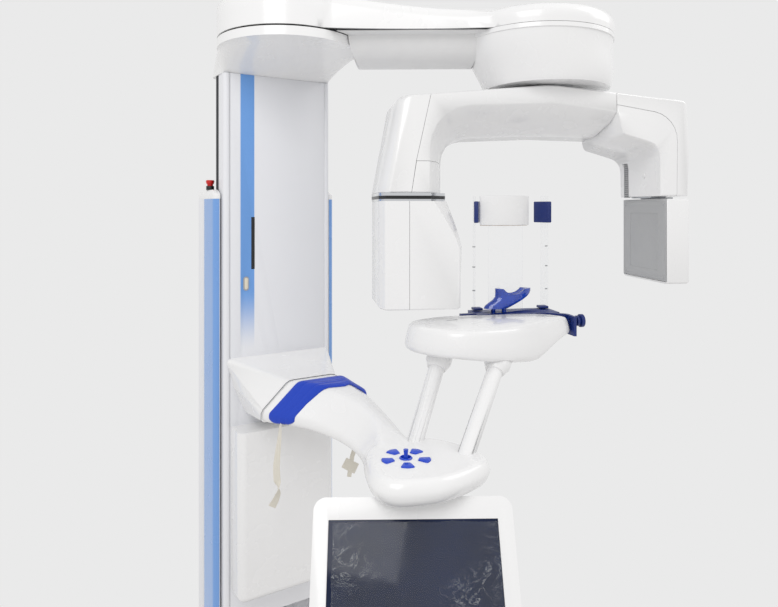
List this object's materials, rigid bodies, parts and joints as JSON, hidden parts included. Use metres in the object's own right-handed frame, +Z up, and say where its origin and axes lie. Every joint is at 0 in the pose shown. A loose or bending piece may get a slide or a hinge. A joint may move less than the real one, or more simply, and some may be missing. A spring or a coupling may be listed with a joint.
{
  "type": "dental ct scanner",
  "caption": "Column-mounted dental cone-beam scanner: lifting column, folding arm, rotating tube and sensor arm, patient table with head rests, control pad and tilting screen.",
  "frame": {"origin": "centre of the underside of the floor plate, at the centre of its anchor holes", "axes": "+Z up the column; -Y out of the column's front, towards the patient side; +X to the side the upper arm reaches"},
  "size_m": [1.0653, 0.9679, 2.04],
  "materials": {
    "white_paint": "semi-gloss",
    "white_plastic": "gloss",
    "blue_strip": "gloss",
    "navy_plastic": "gloss",
    "blue_plastic": "gloss",
    "clear_blue": "translucent",
    "black_plastic": "satin",
    "dark_steel": "satin",
    "bright_steel": "satin",
    "aluminium": "machined",
    "grey_plastic": "satin",
    "chrome_band": "polished",
    "ivory_plastic": "satin",
    "red_plastic": "gloss",
    "strap_fabric": "woven",
    "screen_glass": "gloss"
  },
  "bodies": {
    "stand": {"base_plate": "dark_steel", "base_skirt": "white_plastic", "fixed_column": "white_paint", "side_strips": "blue_strip", "column_cap": "white_plastic", "wall_bracket": "bright_steel", "guide_rails": "bright_steel", "lift_drive": "aluminium", "stop_collar": "black_plastic"},
    "emergency_stop": {"stop_button": "red_plastic"},
    "mover": {"moving_column": "white_paint", "rail_carriages": "dark_steel", "lift_rod": "bright_steel", "front_panel": "white_paint", "start_ring": "grey_plastic", "lower_cover": "white_plastic", "shoulder_housing": "white_plastic", "shoulder_bearing": "black_plastic", "arm_block": "white_plastic", "support_arm": "white_plastic", "joystick_socket": "blue_plastic", "posts": "white_plastic", "table_body": "white_plastic", "table_rear": "navy_plastic", "forehead_rest": "white_plastic", "chin_rest": "clear_blue", "head_strap": "strap_fabric"},
    "start": {"start_button": "ivory_plastic"},
    "button_1": {"pad_button_1": "blue_plastic"},
    "button_2": {"pad_button_2": "blue_plastic"},
    "button_3": {"pad_button_3": "blue_plastic"},
    "button_4": {"pad_button_4": "blue_plastic"},
    "button_5": {"pad_button_5": "blue_plastic"},
    "gimbal": {"joystick_ring": "bright_steel"},
    "stick": {"joystick": "blue_plastic"},
    "knob": {"width_knob": "navy_plastic"},
    "left_temple": {"temple_left": "navy_plastic"},
    "right_temple": {"temple_right": "navy_plastic"},
    "swivel": {"screen_yoke": "black_plastic"},
    "screen": {"screen_housing": "white_plastic", "screen_glass": "screen_glass"},
    "upper_arm": {"arm_frame": "aluminium", "arm_cover": "white_plastic", "arm_belly": "grey_plastic"},
    "elbow": {"rotation_housing": "white_plastic", "rotation_bearing": "black_plastic"},
    "rotating_arm": {"carm_frame": "aluminium", "beam_cover": "white_plastic", "tube_arm_outer": "white_plastic", "tube_arm_inner": "white_plastic", "tube_band": "chrome_band", "tube_head_outer": "white_plastic", "tube_head_inner": "white_plastic", "tube_insert": "aluminium", "sensor_arm_outer": "white_plastic", "sensor_arm_inner": "white_plastic", "vent_grille": "grey_plastic", "sensor_head": "white_plastic", "sensor_plate": "grey_plastic"},
    "release": {"release_button": "white_plastic"}
  },
  "joints": [
    {"name": "column_lift", "type": "slide", "parent": "stand", "child": "mover", "axis": [0, 0, 1], "range_m": [-0.24, 0.4]},
    {"name": "stop_press", "type": "slide", "parent": "stand", "child": "emergency_stop", "axis": [0, 0, -1], "range_m": [0, 0.004]},
    {"name": "start_press", "type": "slide", "parent": "mover", "child": "start", "axis": [0, 1, 0], "range_m": [0, 0.002], "stiffness_N_per_m": 2000},
    {"name": "button_1_press", "type": "slide", "parent": "mover", "child": "button_1", "axis": [0, 0, -1], "range_m": [0, 0.0015], "stiffness_N_per_m": 2000},
    {"name": "button_2_press", "type": "slide", "parent": "mover", "child": "button_2", "axis": [0, 0, -1], "range_m": [0, 0.0015], "stiffness_N_per_m": 2000},
    {"name": "button_3_press", "type": "slide", "parent": "mover", "child": "button_3", "axis": [0, 0, -1], "range_m": [0, 0.0015], "stiffness_N_per_m": 2000},
    {"name": "button_4_press", "type": "slide", "parent": "mover", "child": "button_4", "axis": [0, 0, -1], "range_m": [0, 0.0015], "stiffness_N_per_m": 2000},
    {"name": "button_5_press", "type": "slide", "parent": "mover", "child": "button_5", "axis": [0, 0, -1], "range_m": [0, 0.0015], "stiffness_N_per_m": 2000},
    {"name": "joystick_side", "type": "hinge", "parent": "mover", "child": "gimbal", "pos_m": [0.046, -0.589, 1.084], "axis": [1, 0, 0], "range_deg": [-15, 15], "stiffness_Nm_per_rad": 0.3},
    {"name": "joystick_fore", "type": "hinge", "parent": "gimbal", "child": "stick", "pos_m": [0.046, -0.589, 1.084], "axis": [0, 1, 0], "range_deg": [-15, 15], "stiffness_Nm_per_rad": 0.3},
    {"name": "knob_turn", "type": "hinge", "parent": "mover", "child": "knob", "pos_m": [0.54932, -0.52675, 1.288], "axis": [0.9397, -0.342, 0], "range_deg": [0, 225]},
    {"name": "temple_left_slide", "type": "slide", "parent": "mover", "child": "left_temple", "axis": [-0.9397, 0.342, 0], "range_m": [0, 0.01]},
    {"name": "temple_right_slide", "type": "slide", "parent": "mover", "child": "right_temple", "axis": [0.9397, -0.342, 0], "range_m": [0, 0.01]},
    {"name": "screen_swivel", "type": "hinge", "parent": "mover", "child": "swivel", "pos_m": [0.056, -0.592, 1.05], "axis": [0, 0, 1], "range_deg": [-60, 60]},
    {"name": "screen_tilt", "type": "hinge", "parent": "swivel", "child": "screen", "pos_m": [0.056, -0.592, 1.004], "axis": [0.866, -0.5, 0], "range_deg": [0, 25]},
    {"name": "shoulder_swing", "type": "hinge", "parent": "mover", "child": "upper_arm", "pos_m": [0, -0.143, 1.944], "axis": [0, 0, 1], "range_deg": [-2, 2]},
    {"name": "elbow_turn", "type": "hinge", "parent": "upper_arm", "child": "elbow", "pos_m": [0.49815, -0.45914, 1.94], "axis": [0, 0, 1], "range_deg": [-20, 20]},
    {"name": "arm_rotation", "type": "hinge", "parent": "elbow", "child": "rotating_arm", "pos_m": [0.51747, -0.46924, 1.82], "axis": [0, 0, 1], "range_deg": [-180, 190]},
    {"name": "release_press", "type": "slide", "parent": "rotating_arm", "child": "release", "axis": [0.915, -0.4035, 0], "range_m": [0, 0.002], "stiffness_N_per_m": 2000}
  ],
  "couplings": [
    {"joint": "knob_turn", "follows": "temple_left_slide", "rad_per_m": 392.5},
    {"joint": "temple_right_slide", "follows": "temple_left_slide", "ratio": 1}
  ]
}
